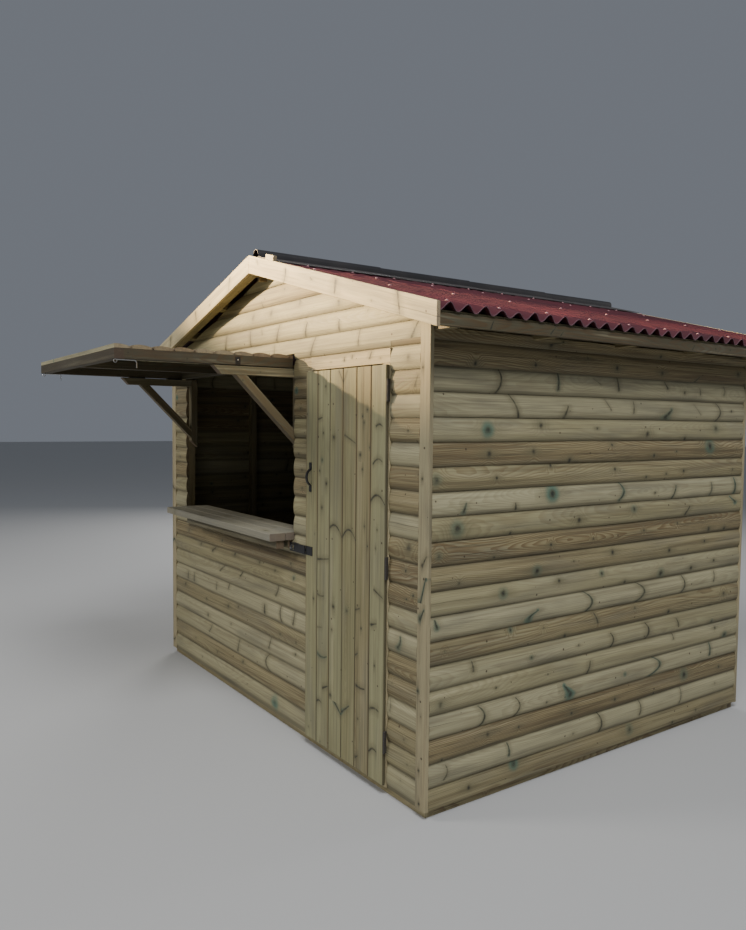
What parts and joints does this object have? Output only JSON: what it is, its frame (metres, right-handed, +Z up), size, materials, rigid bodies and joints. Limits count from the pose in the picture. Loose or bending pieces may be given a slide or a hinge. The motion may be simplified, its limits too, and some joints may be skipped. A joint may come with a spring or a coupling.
{
  "type": "street kiosk",
  "caption": "Timber street kiosk with a serving hatch under a lift-up shutter on brackets, a boarded door and a low-pitched corrugated roof.",
  "frame": {"origin": "at ground level, in the middle of the floor", "axes": "+Z up, the front with the hatch and the door faces -Y, +X to the right seen from the front"},
  "size_m": [3.282, 3.9304, 2.6514],
  "materials": {
    "wall_boards": "treated softwood, weathered, rounded overlapping boards",
    "frame_timber": "treated softwood, sawn",
    "floor_timber": "treated softwood floor boards",
    "trim_timber": "planed softwood",
    "door_timber": "treated softwood, green tint",
    "counter_timber": "weathered grey softwood",
    "roof_sheet": "matt maroon corrugated fibre and bitumen sheet",
    "ridge_cap": "matt black fibre and bitumen",
    "black_iron": "satin black painted steel",
    "bright_zinc": "bright zinc-plated steel"
  },
  "bodies": {
    "kiosk": {"floor_rims": "frame_timber", "floor_joists": "frame_timber", "floor_boards": "floor_timber", "side_wall_plates": "frame_timber", "gable_wall_plates": "frame_timber", "front_wall_studs": "frame_timber", "wall_studs": "frame_timber", "gable_studs": "frame_timber", "right_wall_cladding": "wall_boards", "left_wall_cladding": "wall_boards", "back_wall_cladding": "wall_boards", "front_cladding_ends": "wall_boards", "front_cladding_pier": "wall_boards", "front_cladding_spans": "wall_boards", "front_gable_cladding": "wall_boards", "door_linings": "trim_timber", "door_head_trim": "trim_timber", "corner_trims": "trim_timber", "rafters": "frame_timber", "purlins_and_ridge_board": "frame_timber", "verge_rafters": "frame_timber", "barge_boards": "trim_timber", "eaves_fascias": "trim_timber", "roof_sheet_left": "roof_sheet", "roof_sheet_right": "roof_sheet", "ridge_cap": "ridge_cap", "counter": "counter_timber", "counter_rails": "counter_timber", "hinge_frame_leaves": "black_iron", "hasp_staple": "bright_zinc", "flap_hinge_frame_leaves": "black_iron"},
    "door": {"door_boards": "door_timber", "door_ledges": "door_timber", "door_hinge_leaves": "black_iron", "door_handle": "black_iron", "hasp_leaf": "black_iron"},
    "hasp": {"hasp_strap": "black_iron"},
    "shutter": {"flap_cladding": "wall_boards", "flap_ribs": "frame_timber", "flap_rails": "frame_timber", "flap_hinge_leaves": "black_iron"},
    "left_bracket": {"bracket_left": "trim_timber", "bracket_left_hinges": "black_iron"},
    "right_bracket": {"bracket_right": "trim_timber", "bracket_right_hinges": "black_iron"}
  },
  "joints": [
    {"name": "door_hinge", "type": "hinge", "parent": "kiosk", "child": "door", "pos_m": [1.198, -1.2145, 1.039], "axis": [0, 0, 1], "range_deg": [0, 165]},
    {"name": "hasp_hinge", "type": "hinge", "parent": "door", "child": "hasp", "pos_m": [0.489, -1.2232, 1.025], "axis": [0, 0, 1], "range_deg": [0, 165]},
    {"name": "shutter_hinge", "type": "hinge", "parent": "kiosk", "child": "shutter", "pos_m": [-0.4405, -1.2, 2.045], "axis": [1, 0, 0], "range_deg": [0, 90]},
    {"name": "left_bracket_fold", "type": "hinge", "parent": "shutter", "child": "left_bracket", "pos_m": [-1.154, -1.4, 1.97285], "axis": [0, -1, 0], "range_deg": [0, 90]},
    {"name": "right_bracket_fold", "type": "hinge", "parent": "shutter", "child": "right_bracket", "pos_m": [0.273, -1.4, 1.97285], "axis": [0, 1, 0], "range_deg": [0, 90]}
  ],
  "couplings": [
    {"joint": "left_bracket_fold", "follows": "shutter_hinge", "ratio": 1},
    {"joint": "right_bracket_fold", "follows": "shutter_hinge", "ratio": 1}
  ]
}
